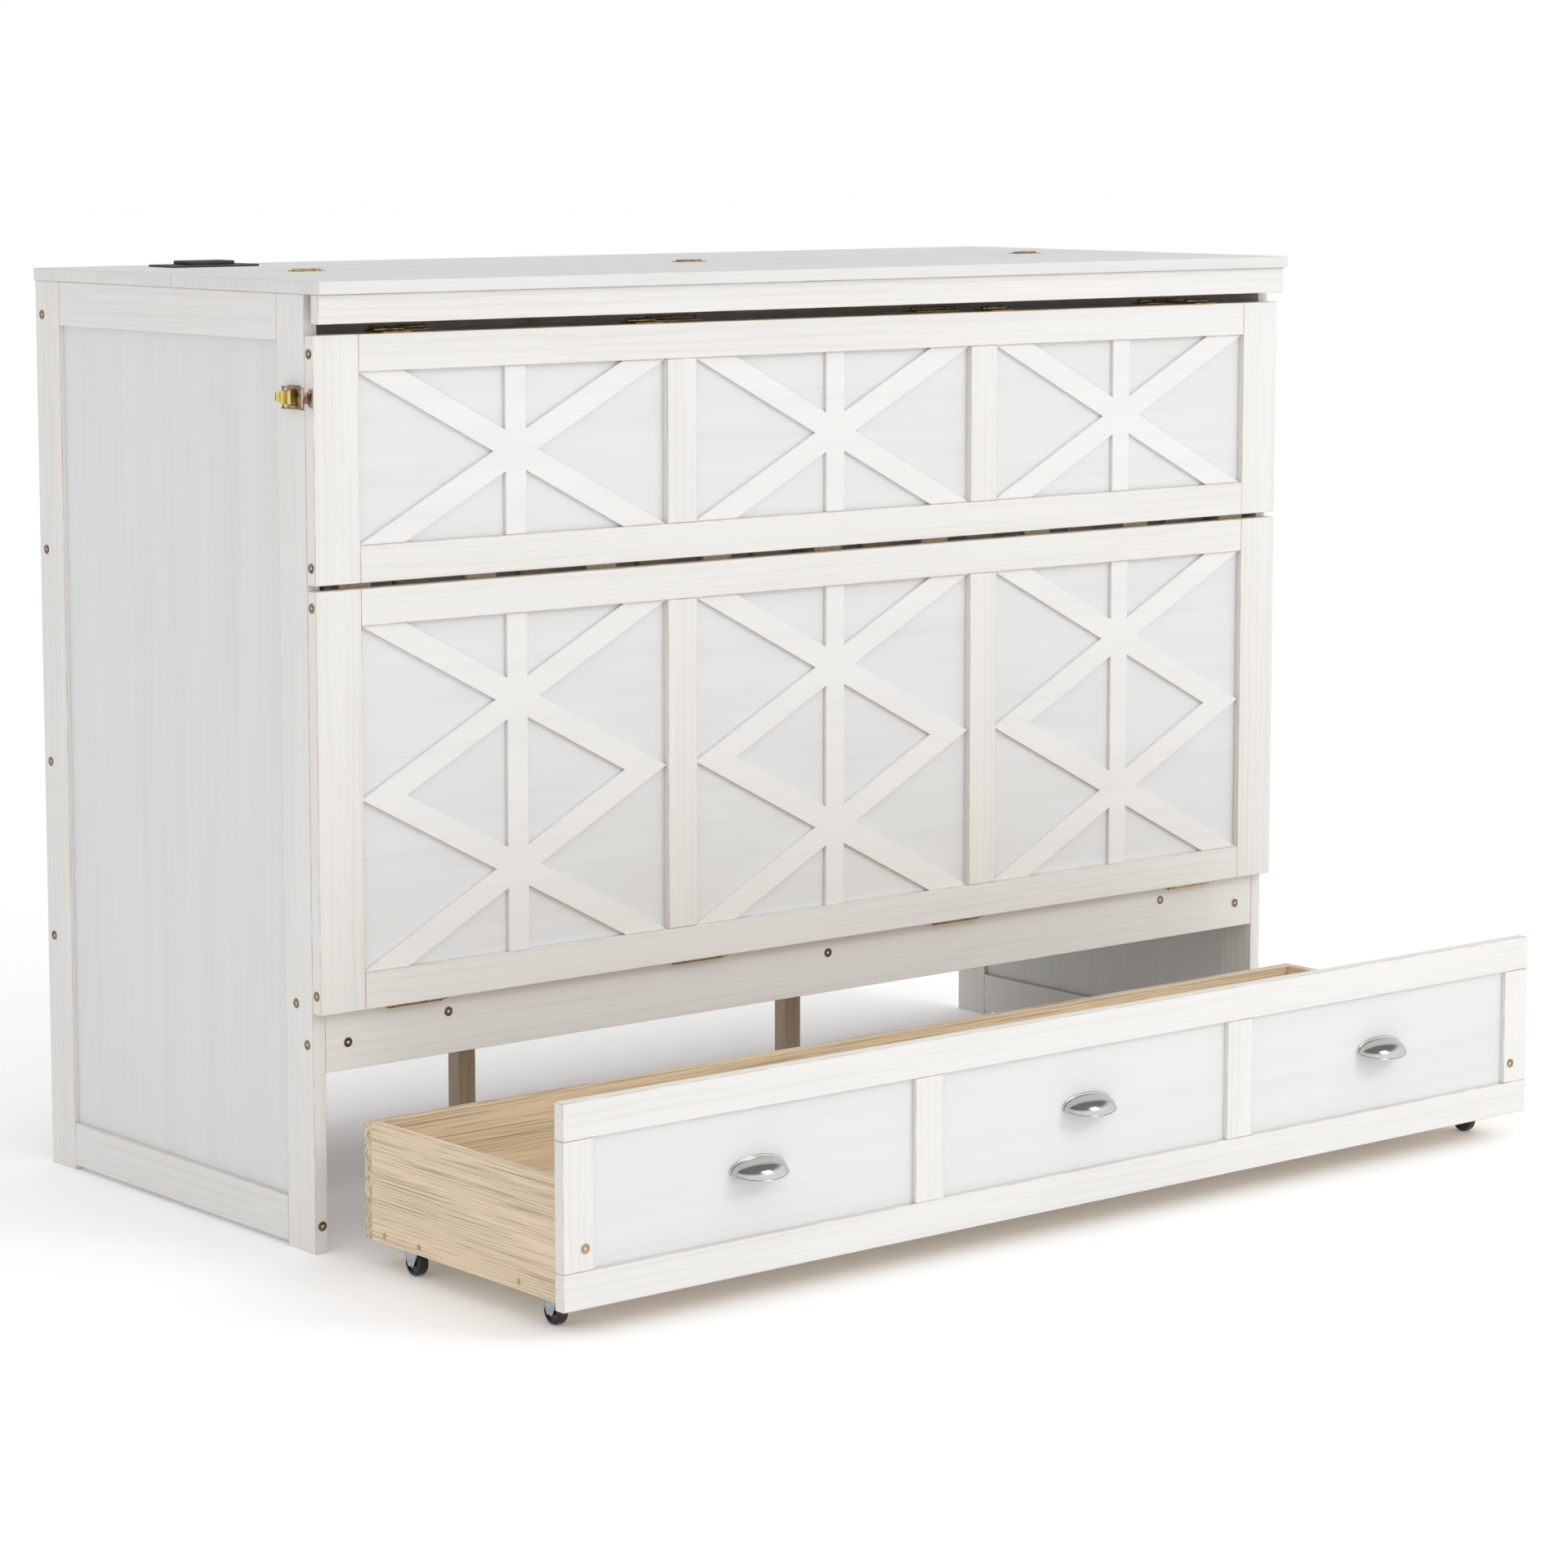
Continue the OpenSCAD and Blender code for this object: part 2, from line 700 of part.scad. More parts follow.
place() left_side_frame();
place() left_side_panel();
place() right_side_frame();
place() right_side_panel();
place() rear_top_board();
place() back_panel();
place() back_rails();
place() front_rail();
place() base_slats();
place() base_beam();
place() base_legs();
place() side_bolts();
place() rail_bolts();
place() outlet_housing();
place() outlet_plate();
place() outlet_sockets();
place() lid_board();
place() lid_valance();
place() lid_hinges_fixed();
place() lid_hinges_moving();
place() lid_hinge_pins();
place() rail_hinges_fixed();
place() rail_hinges_moving();
place() rail_hinge_pins();
place() lower_front_frame();
place() lower_front_panel();
place() lower_lattice();
place() upper_front_frame();
place() upper_front_panel();
place() upper_lattice();
place() front_battens();
place() front_bolts();
place() deck_hinges_fixed();
place() deck_hinges_moving();
place() deck_hinge_pins();
place() extension_frame();
place() extension_slats();
place() leg_hinges_fixed();
place() leg_hinges_moving();
place() foot_hinges_moving();
place() middle_leg_frame();
place() foot_leg_frame();
place() latch_base();
place() latch_strike();
place() latch_lever();
place() latch_loop();
place() drawer_front_frame();
place() drawer_front_panel();
place() drawer_box_sides();
place() drawer_box_back();
place() drawer_box_bottom();
place() cup_pulls();
place() drawer_bolts();
place() caster_brackets();
place() wheel_front_left();
place() wheel_front_right();
place() wheel_rear_left();
place() wheel_rear_right();
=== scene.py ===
"""Looks of the cabinet murphy bed: white-washed pine, an oak laminate drawer and brass hardware."""

import json
import math

import bmesh
import bpy
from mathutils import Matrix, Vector


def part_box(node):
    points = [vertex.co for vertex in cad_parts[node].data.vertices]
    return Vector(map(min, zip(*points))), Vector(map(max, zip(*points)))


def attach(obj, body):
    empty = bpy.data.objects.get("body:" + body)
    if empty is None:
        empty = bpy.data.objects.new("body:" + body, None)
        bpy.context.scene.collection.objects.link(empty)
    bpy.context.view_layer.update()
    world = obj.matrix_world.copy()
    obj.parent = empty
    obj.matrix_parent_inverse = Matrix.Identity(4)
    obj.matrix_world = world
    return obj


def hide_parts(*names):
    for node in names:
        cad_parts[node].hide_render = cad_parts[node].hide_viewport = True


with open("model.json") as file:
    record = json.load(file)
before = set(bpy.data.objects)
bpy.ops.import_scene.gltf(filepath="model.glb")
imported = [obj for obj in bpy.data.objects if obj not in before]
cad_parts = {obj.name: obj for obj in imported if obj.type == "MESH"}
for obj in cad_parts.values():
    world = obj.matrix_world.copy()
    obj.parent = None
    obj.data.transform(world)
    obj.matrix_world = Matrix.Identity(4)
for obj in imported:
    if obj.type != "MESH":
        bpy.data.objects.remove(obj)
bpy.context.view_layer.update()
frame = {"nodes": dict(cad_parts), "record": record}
MM = 0.001


# ---------------------------------------------------------------- shader helpers
def start_material(name, roughness=0.5, metallic=0.0):
    """A new node material: (tree, principled shader)."""
    material = bpy.data.materials.new(name)
    material.use_nodes = True
    shader = material.node_tree.nodes["Principled BSDF"]
    shader.inputs["Roughness"].default_value = roughness
    shader.inputs["Metallic"].default_value = metallic
    return material.node_tree, shader


def attribute(tree, name, output):
    node = tree.nodes.new("ShaderNodeAttribute")
    node.attribute_name = name
    return node.outputs[output]


def object_coords(tree):
    return tree.nodes.new("ShaderNodeTexCoord").outputs["Object"]


def stretched(tree, vector, scale):
    node = tree.nodes.new("ShaderNodeMapping")
    node.inputs["Scale"].default_value = scale
    tree.links.new(vector, node.inputs["Vector"])
    return node.outputs["Vector"]


def noise(tree, vector, scale, detail=3.0, distortion=0.0):
    node = tree.nodes.new("ShaderNodeTexNoise")
    node.inputs["Scale"].default_value = scale
    node.inputs["Detail"].default_value = detail
    node.inputs["Distortion"].default_value = distortion
    tree.links.new(vector, node.inputs["Vector"])
    return node.outputs["Fac"]


def rings(tree, vector, scale, distortion):
    node = tree.nodes.new("ShaderNodeTexWave")
    node.bands_direction = "Y"
    node.inputs["Scale"].default_value = scale
    node.inputs["Distortion"].default_value = distortion
    node.inputs["Detail"].default_value = 2.0
    node.inputs["Detail Scale"].default_value = 0.9
    tree.links.new(vector, node.inputs["Vector"])
    return node.outputs["Fac"]


def ranged(tree, value, low, high, to_low=0.0, to_high=1.0):
    node = tree.nodes.new("ShaderNodeMapRange")
    for socket, number in (("From Min", low), ("From Max", high), ("To Min", to_low), ("To Max", to_high)):
        node.inputs[socket].default_value = number
    tree.links.new(value, node.inputs["Value"])
    return node.outputs["Result"]


def times(tree, a, b):
    node = tree.nodes.new("ShaderNodeMath")
    node.operation = "MULTIPLY"
    tree.links.new(a, node.inputs[0])
    if isinstance(b, float):
        node.inputs[1].default_value = b
    else:
        tree.links.new(b, node.inputs[1])
    return node.outputs[0]


def blended(tree, factor, a, b):
    """Colour a where factor is 0 and b where it is 1; each is a colour or a socket."""
    node = tree.nodes.new("ShaderNodeMix")
    node.data_type = "RGBA"
    tree.links.new(factor, node.inputs["Factor"])
    for name, value in (("A", a), ("B", b)):
        socket = [s for s in node.inputs if s.name == name and s.type == "RGBA"][0]
        if isinstance(value, tuple):
            socket.default_value = (*value, 1)
        else:
            tree.links.new(value, socket)
    return [s for s in node.outputs if s.type == "RGBA"][0]


def bumped(tree, shader, height, strength, distance):
    node = tree.nodes.new("ShaderNodeBump")
    node.inputs["Strength"].default_value = strength
    node.inputs["Distance"].default_value = distance
    tree.links.new(height, node.inputs["Height"])
    tree.links.new(node.outputs["Normal"], shader.inputs["Normal"])


def darker(colour, share):
    return tuple(c * share for c in colour)


# ---------------------------------------------------------------- materials
def knots(tree, grain, keep):
    """1 inside a few small round knots, which sit in random cells of a board."""
    cells = tree.nodes.new("ShaderNodeTexVoronoi")
    cells.inputs["Scale"].default_value = 6.0
    tree.links.new(stretched(tree, grain, (1, 1, 0.01)), cells.inputs["Vector"])
    spot = ranged(tree, cells.outputs["Distance"], 0.025, 0.075, 1.0, 0.0)
    split = tree.nodes.new("ShaderNodeSeparateColor")
    tree.links.new(cells.outputs["Color"], split.inputs["Color"])
    chosen = ranged(tree, split.outputs["Red"], keep, keep + 0.01, 1.0, 0.0)
    return times(tree, spot, chosen)


def wood(name, base, vein, vein_share, worn, figure=26.0, knot_share=0.0, planks=False, relief=0.2):
    """Wood with long streaks, growth rings and fibres along each board, knots, and tinted edges."""
    tree, shader = start_material(name)
    grain = attribute(tree, "grain", "Vector")
    streaks = ranged(tree, noise(tree, stretched(tree, grain, (1.6, 30, 30)), 1.0, 4.0), 0.35, 0.68)
    lines = rings(tree, stretched(tree, grain, (0.14, 1, 1)), figure, 6.0)
    ring_line = times(tree, ranged(tree, lines, 0.55, 0.98), streaks)
    fibres = noise(tree, stretched(tree, grain, (12, 900, 900)), 1.0, 2.0)
    colour = blended(tree, streaks, base, darker(base, 0.965))
    colour = blended(tree, times(tree, ring_line, vein_share), colour, vein)
    colour = blended(tree, ranged(tree, fibres, 0.4, 0.75, 0.0, vein_share * 0.7), colour, vein)
    if planks:
        split = tree.nodes.new("ShaderNodeSeparateXYZ")
        tree.links.new(grain, split.inputs["Vector"])
        plank = tree.nodes.new("ShaderNodeMath")
        plank.operation = "SNAP"
        plank.inputs[1].default_value = 0.094
        tree.links.new(split.outputs["Y"], plank.inputs[0])
        tone = tree.nodes.new("ShaderNodeTexWhiteNoise")
        tone.noise_dimensions = "1D"
        tree.links.new(plank.outputs[0], tone.inputs["W"])
        share = ranged(tree, tone.outputs["Value"], 0.0, 1.0, 0.0, vein_share * 0.5)
        colour = blended(tree, share, colour, vein)
    if knot_share:
        spot = knots(tree, grain, knot_share)
        colour = blended(tree, times(tree, spot, 0.5), colour, darker(vein, 0.7))
    rubbed = ranged(tree, noise(tree, object_coords(tree), 30.0, 3.0), 0.3, 0.6)
    edge = times(tree, attribute(tree, "edge", "Fac"), rubbed)
    colour = blended(tree, edge, colour, worn)
    tree.links.new(colour, shader.inputs["Base Color"])
    tree.links.new(ranged(tree, fibres, 0.3, 0.7, 0.43, 0.6), shader.inputs["Roughness"])
    height = tree.nodes.new("ShaderNodeMath")
    height.operation = "ADD"
    tree.links.new(times(tree, fibres, 0.5), height.inputs[0])
    tree.links.new(times(tree, lines, 0.6), height.inputs[1])
    bumped(tree, shader, height.outputs[0], relief, 0.5 * MM)
    return bpy.data.materials[name]


def laminate(name, base, vein):
    """Printed oak: dense dark pore lines that wander a little along each board."""
    tree, shader = start_material(name, 0.42)
    grain = attribute(tree, "grain", "Vector")
    drift = noise(tree, stretched(tree, grain, (2.5, 40, 40)), 1.0, 4.0, 0.4)
    pores = noise(tree, stretched(tree, grain, (7, 560, 560)), 1.0, 3.0, 0.3)
    lines = rings(tree, stretched(tree, grain, (0.09, 1, 1)), 78.0, 7.0)
    colour = blended(tree, ranged(tree, drift, 0.3, 0.7), base, darker(base, 0.88))
    dark = times(tree, ranged(tree, lines, 0.7, 0.98), ranged(tree, drift, 0.4, 0.6))
    colour = blended(tree, times(tree, dark, 0.62), colour, vein)
    colour = blended(tree, ranged(tree, pores, 0.52, 0.7, 0.0, 0.85), colour, vein)
    edge = times(tree, attribute(tree, "edge", "Fac"), ranged(tree, drift, 0.3, 0.6))
    colour = blended(tree, times(tree, edge, 0.5), colour, darker(base, 1.12))
    tree.links.new(colour, shader.inputs["Base Color"])
    tree.links.new(ranged(tree, pores, 0.3, 0.7, 0.36, 0.52), shader.inputs["Roughness"])
    bumped(tree, shader, pores, 0.25, 0.3 * MM)
    return bpy.data.materials[name]


def chipboard(name):
    """Raw pressed-chip edge: pale flakes with dark specks."""
    tree, shader = start_material(name, 0.85)
    where = object_coords(tree)
    flakes = noise(tree, stretched(tree, where, (1, 1, 0.5)), 420.0, 4.0)
    specks = noise(tree, where, 900.0, 2.0)
    colour = blended(tree, ranged(tree, flakes, 0.36, 0.64), (0.40, 0.29, 0.18), (0.80, 0.68, 0.50))
    colour = blended(tree, ranged(tree, specks, 0.6, 0.68), colour, (0.24, 0.15, 0.08))
    tree.links.new(colour, shader.inputs["Base Color"])
    bumped(tree, shader, flakes, 0.6, 0.6 * MM)
    return bpy.data.materials[name]


def metal(name, base, tarnish, low, high, share=1.0, scratch=260.0):
    """Metal with cloudy tarnish, fine scratches and brighter rubbed edges."""
    tree, shader = start_material(name, 0.3, 1.0)
    where = object_coords(tree)
    clouds = noise(tree, where, 120.0, 4.0)
    marks = noise(tree, stretched(tree, where, (1, 6, 1)), scratch, 3.0)
    colour = blended(tree, ranged(tree, clouds, 0.42, 0.66, 0.0, share), base, tarnish)
    colour = blended(tree, times(tree, attribute(tree, "edge", "Fac"), 0.45), colour, darker(base, 1.25))
    tree.links.new(colour, shader.inputs["Base Color"])
    tree.links.new(ranged(tree, marks, 0.3, 0.7, low, high), shader.inputs["Roughness"])
    bumped(tree, shader, marks, 0.12, 0.1 * MM)
    return bpy.data.materials[name]


def moulded(name, base, rough, grain_scale):
    """Moulded plastic or rubber with a fine spark texture and paler rubbed edges."""
    tree, shader = start_material(name, rough)
    where = object_coords(tree)
    texture = noise(tree, where, grain_scale, 2.0)
    dust = noise(tree, where, 60.0, 4.0)
    dusty, rubbed = (tuple(c + lift for c in base) for lift in (0.012, 0.05))
    colour = blended(tree, ranged(tree, dust, 0.45, 0.75), base, dusty)
    colour = blended(tree, times(tree, attribute(tree, "edge", "Fac"), 0.5), colour, rubbed)
    tree.links.new(colour, shader.inputs["Base Color"])
    tree.links.new(ranged(tree, dust, 0.3, 0.7, rough - 0.08, rough + 0.12), shader.inputs["Roughness"])
    bumped(tree, shader, texture, 0.2, 0.15 * MM)
    return bpy.data.materials[name]


WHITE = (0.76, 0.753, 0.735)
PLY = (0.715, 0.718, 0.715)
VEIN = (0.60, 0.55, 0.48)
RAW = (0.60, 0.50, 0.38)
frame_wood = wood("white_frame_wood", WHITE, VEIN, 0.26, RAW, knot_share=0.05)
top_wood = wood("white_top_wood", PLY, (0.58, 0.56, 0.52), 0.30, (0.66, 0.62, 0.56), planks=True)
ply_wood = wood("white_plywood", PLY, (0.60, 0.585, 0.56), 0.11, PLY, figure=16.0, relief=0.06)
strip_wood = wood(
    "white_strip_wood", (0.775, 0.77, 0.755), (0.68, 0.66, 0.62), 0.15, (0.74, 0.71, 0.66),
    figure=14.0, relief=0.12,
)
pine = wood("sealed_pine", (0.60, 0.46, 0.32), (0.38, 0.26, 0.16), 0.65, (0.66, 0.53, 0.39), knot_share=0.08)
oak = laminate("oak_laminate", (0.80, 0.645, 0.455), (0.37, 0.26, 0.17))
chip = chipboard("chipboard_edge")
brass = metal("yellow_brass", (0.50, 0.37, 0.18), (0.24, 0.16, 0.09), 0.22, 0.38)
bronze = metal("dark_bronze", (0.47, 0.33, 0.21), (0.13, 0.08, 0.055), 0.16, 0.32)
bolt_metal = metal("aged_bolt_metal", (0.29, 0.20, 0.125), (0.09, 0.06, 0.04), 0.22, 0.4)
bright_brass = metal("bright_brass", (0.78, 0.66, 0.25), (0.60, 0.48, 0.16), 0.18, 0.3, 0.7)
nickel = metal("satin_nickel_metal", (0.60, 0.595, 0.57), (0.52, 0.51, 0.49), 0.12, 0.2, 0.5, 600.0)
zinc = metal("zinc_plate", (0.46, 0.51, 0.55), (0.33, 0.37, 0.41), 0.3, 0.48)
plastic = moulded("black_moulding", (0.02, 0.02, 0.023), 0.42, 1500.0)
tread = moulded("black_wheel_rubber", (0.014, 0.014, 0.014), 0.36, 700.0)


# ---------------------------------------------------------------- mesh helpers
def islands(bm):
    """The separate solids of a mesh, each as a list of faces, in a fixed order."""
    left, found = set(bm.faces), []
    for seed in list(bm.faces):
        if seed not in left:
            continue
        group, queue = [], [seed]
        left.discard(seed)
        while queue:
            face = queue.pop()
            group.append(face)
            for other in (g for e in face.edges for g in e.link_faces):
                if other in left:
                    left.discard(other)
                    queue.append(other)
        found.append(group)
    return found


def lay_grain(bm):
    """Writes the grain coordinates: X runs along each solid's longest side, from its own starting place."""
    layer = bm.verts.layers.float_vector.new("grain")
    for index, group in enumerate(islands(bm)):
        verts = {v for f in group for v in f.verts}
        spans = [max(v.co[a] for v in verts) - min(v.co[a] for v in verts) for a in range(3)]
        order = sorted(range(3), key=lambda a: -spans[a])
        shift = Vector((1.37, 0.61, 0.83)) * (index + 1)
        for v in verts:
            v[layer] = Vector([v.co[a] for a in order]) + shift


def mesh_piece(name, bm, body, material, replaced=(), smooth=35.0):
    """Turns a bmesh into a piece that rides on a body, wears a material and stands for CAD nodes."""
    if "grain" not in bm.verts.layers.float_vector:
        lay_grain(bm)
    if "edge" not in bm.faces.layers.float:
        bm.faces.layers.float.new("edge")
    bm.normal_update()
    mesh = bpy.data.meshes.new(name)
    bm.to_mesh(mesh)
    bm.free()
    mesh.shade_smooth()
    mesh.set_sharp_from_angle(angle=math.radians(smooth))
    for m in material if isinstance(material, (list, tuple)) else [material]:
        mesh.materials.append(m)
    piece = bpy.data.objects.new(name, mesh)
    bpy.context.scene.collection.objects.link(piece)
    weighted = piece.modifiers.new("even_shading", "WEIGHTED_NORMAL")
    weighted.keep_sharp = True
    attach(piece, body)
    if replaced:
        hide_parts(*replaced)
    return piece


def softened(node, edge, reshape=None):
    """A bmesh copy of a CAD node, moved by reshape if given, with its sharp edges rounded by edge metres."""
    bm = bmesh.new()
    bm.from_mesh(frame["nodes"][node].data)
    bmesh.ops.remove_doubles(bm, verts=bm.verts, dist=0.01 * MM)
    bmesh.ops.dissolve_limit(bm, angle_limit=math.radians(1), verts=bm.verts, edges=bm.edges)
    if reshape:
        reshape(bm)
    sharp = [e for e in bm.edges if e.is_manifold and e.calc_face_angle(0) > math.radians(32)]
    layer = bm.faces.layers.float.new("edge")
    made = bmesh.ops.bevel(
        bm, geom=sharp, offset=edge, segments=2, profile=0.6, affect="EDGES", clamp_overlap=True
    )
    for face in made["faces"]:
        face[layer] = 1.0
    return bm


BODY_OF = {
    node: body for body, nodes in frame["record"]["behaviour"]["bodies"].items() for node in nodes
}


def refine(node, material, edge, reshape=None):
    """Stands a softened copy in for a CAD node, on the same body, with the given material."""
    return mesh_piece(
        node + "_finished", softened(node, edge, reshape), BODY_OF[node], material, (node,)
    )


def add_lathe(bm, place, outline, steps=20, along="Z"):
    """Adds a turned solid to bm. outline is (radius, height), from the axis at the base to the axis again."""
    turned = {
        "Z": lambda r, a, h: Vector((r * math.cos(a), r * math.sin(a), h)),
        "X": lambda r, a, h: Vector((h, r * math.cos(a), r * math.sin(a))),
        "Y": lambda r, a, h: Vector((r * math.sin(a), h, r * math.cos(a))),
    }[along]
    angles = [2 * math.pi * i / steps for i in range(steps)]
    loops = []
    for radius, height in outline:
        if radius == 0:
            loops.append([bm.verts.new(Vector(place) + turned(0, 0, height))])
        else:
            loops.append([bm.verts.new(Vector(place) + turned(radius, a, height)) for a in angles])
    for low, high in zip(loops, loops[1:]):
        for i in range(steps):
            j = (i + 1) % steps
            corners = [low[i % len(low)], low[j % len(low)], high[j % len(high)], high[i % len(high)]]
            bm.faces.new(list(dict.fromkeys(corners)))
    return bm


def screw_outline(radius, height):
    """A low domed screw head with a driver recess, from its base to the bottom of the recess."""
    return [
        (0, 0), (radius, 0), (radius, height * 0.35), (radius * 0.86, height * 0.8),
        (radius * 0.5, height), (radius * 0.34, height), (radius * 0.22, height * 0.3), (0, height * 0.3),
    ]


def flipped(outline):
    """The same outline with its head towards the negative axis."""
    return [(r, -h) for r, h in outline]


# ---------------------------------------------------------------- cabinet
WHITE_FRAMES = (
    "left_side_frame", "right_side_frame", "back_rails", "front_rail", "lid_valance",
    "lower_front_frame", "upper_front_frame", "drawer_front_frame",
)
for node in WHITE_FRAMES:
    refine(node, frame_wood, 0.9 * MM)
for node in ("rear_top_board", "lid_board"):
    refine(node, top_wood, 1.2 * MM)
for node in (
    "left_side_panel", "right_side_panel", "back_panel",
    "lower_front_panel", "upper_front_panel", "drawer_front_panel",
):
    refine(node, ply_wood, 0.3 * MM)
for node in ("lower_lattice", "upper_lattice"):
    refine(node, strip_wood, 0.7 * MM)
for node in (
    "base_slats", "base_beam", "base_legs", "front_battens", "extension_frame",
    "extension_slats", "middle_leg_frame", "foot_leg_frame",
):
    refine(node, pine, 1.2 * MM)


# ---------------------------------------------------------------- outlet
SOCKET_OFFSET = 16 * MM
SLOT_DEPTH = 3 * MM
# The openings of one socket: how far right of and behind its middle, then width and depth
SOCKET_SLOTS = (
    (-6 * MM, 4 * MM, 2.4 * MM, 8 * MM),
    (6 * MM, 4 * MM, 2.4 * MM, 6.8 * MM),
    (0, -7 * MM, 4.4 * MM, 4.4 * MM),
    (0, -14.5 * MM, 12.4 * MM, 2.2 * MM),
)


def slot_cutter():
    """A block in each opening of the two sockets, sunk SLOT_DEPTH into the socket block."""
    low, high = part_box("outlet_sockets")
    middle = (low + high) / 2
    bm = bmesh.new()
    for side in (-1, 1):
        for right, behind, width, depth in SOCKET_SLOTS:
            place = Vector((middle.x + side * SOCKET_OFFSET + right, middle.y + behind, high.z))
            for v in bmesh.ops.create_cube(bm, size=1.0)["verts"]:
                v.co = place + v.co * Vector((width, depth, 2 * SLOT_DEPTH))
    mesh = bpy.data.meshes.new("slot_cutter")
    bm.to_mesh(mesh)
    bm.free()
    cutter = bpy.data.objects.new("slot_cutter", mesh)
    bpy.context.scene.collection.objects.link(cutter)
    return cutter


def outlet():
    """Plate and housing with soft edges, and a raised block with sunk socket slots."""
    refine("outlet_plate", plastic, 1.0 * MM)
    refine("outlet_housing", plastic, 1.0 * MM)
    bm = softened("outlet_sockets", 1.2 * MM)
    block = mesh_piece("outlet_block", bm, "cabinet", plastic, ("outlet_sockets",))
    cutter = slot_cutter()
    cut = block.modifiers.new("slots", "BOOLEAN")
    cut.operation = "DIFFERENCE"
    cut.object = cutter
    bpy.context.view_layer.update()
    evaluated = block.evaluated_get(bpy.context.evaluated_depsgraph_get())
    finished = bpy.data.meshes.new_from_object(evaluated)
    block.modifiers.clear()
    block.data = finished
    bpy.data.objects.remove(cutter)


outlet()


# ---------------------------------------------------------------- hinges, bolts and latch
for node in (
    "lid_hinges_fixed", "lid_hinges_moving", "lid_hinge_pins", "rail_hinges_fixed", "rail_hinges_moving",
    "rail_hinge_pins", "deck_hinges_fixed", "deck_hinges_moving", "deck_hinge_pins", "leg_hinges_fixed",
    "leg_hinges_moving", "foot_hinges_moving",
):
    refine(node, brass, 0.15 * MM)
refine("drawer_bolts", brass, 0.35 * MM)
for node in ("side_bolts", "rail_bolts", "front_bolts"):
    refine(node, bolt_metal, 0.35 * MM)


ROUNDED_END = 6 * MM


def drawn_in(node):
    """A reshape that rounds a node's rear end, by narrowing its last stretch towards the middle height."""
    low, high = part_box(node)
    middle = (low.z + high.z) / 2

    def reshape(bm):
        for v in bm.verts:
            along = max(0.0, 1 - (high.y - v.co.y) / ROUNDED_END)
            v.co.z = middle + math.sqrt(1 - 0.8 * along ** 2) * (v.co.z - middle)

    return reshape


refine("latch_lever", bright_brass, 0.3 * MM, drawn_in("latch_lever"))
refine("latch_strike", bronze, 0.25 * MM, drawn_in("latch_strike"))
for node in ("latch_base", "latch_loop"):
    refine(node, bronze, 0.25 * MM)


def lid_hinge_screws(node, body, name):
    """Two low screws on each small leaf of the lid hinges."""
    from_edge, leaf_top = 4 * MM, 0.95 * MM
    bm = bmesh.new()
    source = bmesh.new()
    source.from_mesh(frame["nodes"][node].data)
    bmesh.ops.remove_doubles(source, verts=source.verts, dist=0.01 * MM)
    for group in islands(source):
        points = [v.co for f in group for v in f.verts]
        low = Vector([min(p[a] for p in points) for a in range(3)])
        high = Vector([max(p[a] for p in points) for a in range(3)])
        y = high.y - from_edge if node.endswith("fixed") else low.y + from_edge
        for share in (0.2, 0.8):
            place = (low.x + share * (high.x - low.x), y, low.z + leaf_top)
            add_lathe(bm, place, screw_outline(2.4 * MM, 0.5 * MM))
    source.free()
    mesh_piece(name, bm, body, bronze)


lid_hinge_screws("lid_hinges_fixed", "cabinet", "lid_hinge_screws_rear")
lid_hinge_screws("lid_hinges_moving", "lid", "lid_hinge_screws_front")


def latch_screws(node, body, name, share_y, z_out):
    """A pair of screws on a latch plate, on the outer face of the cabinet's left side."""
    plate_face = 1.3 * MM
    bm = bmesh.new()
    low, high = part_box(node)
    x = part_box("left_side_frame")[0].x - plate_face
    for dz in (-z_out, z_out):
        place = (x, low.y + share_y * (high.y - low.y), (low.z + high.z) / 2 + dz)
        add_lathe(bm, place, flipped(screw_outline(2.3 * MM, 1.0 * MM)), along="X")
    bmesh.ops.recalc_face_normals(bm, faces=bm.faces)
    mesh_piece(name, bm, body, brass)


latch_screws("latch_base", "cabinet", "latch_base_screws", 0.82, 11 * MM)
latch_screws("latch_strike", "front", "latch_strike_screws", 0.3, 8.5 * MM)


# ---------------------------------------------------------------- drawer
refine("drawer_box_sides", oak, 0.5 * MM)
refine("drawer_box_bottom", oak, 0.4 * MM)
back = softened("drawer_box_back", 0.5 * MM)
back.normal_update()
for face in back.faces:
    if abs(face.normal.x) > 0.7:
        face.material_index = 1
mesh_piece("drawer_back_finished", back, "drawer", [oak, chip], ("drawer_box_back",))


PULL_WIDTH = 85 * MM
CUP_WALL = 1.5 * MM
LIP = 1.2 * MM
FLANGE = 2.6 * MM
MOUTH_RISE = 8 * MM
AROUND, DOWN = 48, 14


def cup_dome(bm, centre, a, b, c):
    """Adds the outer and inner skins of a cup, joined along its mouth, and gives the points of the mouth."""
    skins = []
    for inset in (0.0, CUP_WALL):
        rows = []
        for j in range(DOWN + 1):
            lift = math.pi / 2 * j / DOWN
            row = []
            for i in range(AROUND + 1):
                turn = math.pi * i / AROUND
                swell = math.sin(turn) ** 0.86
                row.append(bm.verts.new(centre + Vector((
                    -(a - inset) * math.cos(turn),
                    -(b - inset) * swell * math.cos(lift) ** 0.9,
                    (c - inset) * swell * math.sin(lift) ** 0.92 + MOUTH_RISE * (1 - swell),
                ))))
            rows.append(row)
        skins.append(rows)
    for rows, order in zip(skins, (1, -1)):
        for r0, r1 in zip(rows, rows[1:]):
            for i in range(AROUND):
                bm.faces.new([r0[i], r0[i + 1], r1[i + 1], r1[i]][::order])
    outer, inner = skins
    for i in range(AROUND):
        bm.faces.new([inner[0][i], inner[0][i + 1], outer[0][i + 1], outer[0][i]])
    return [v.co.copy() for v in outer[0]]


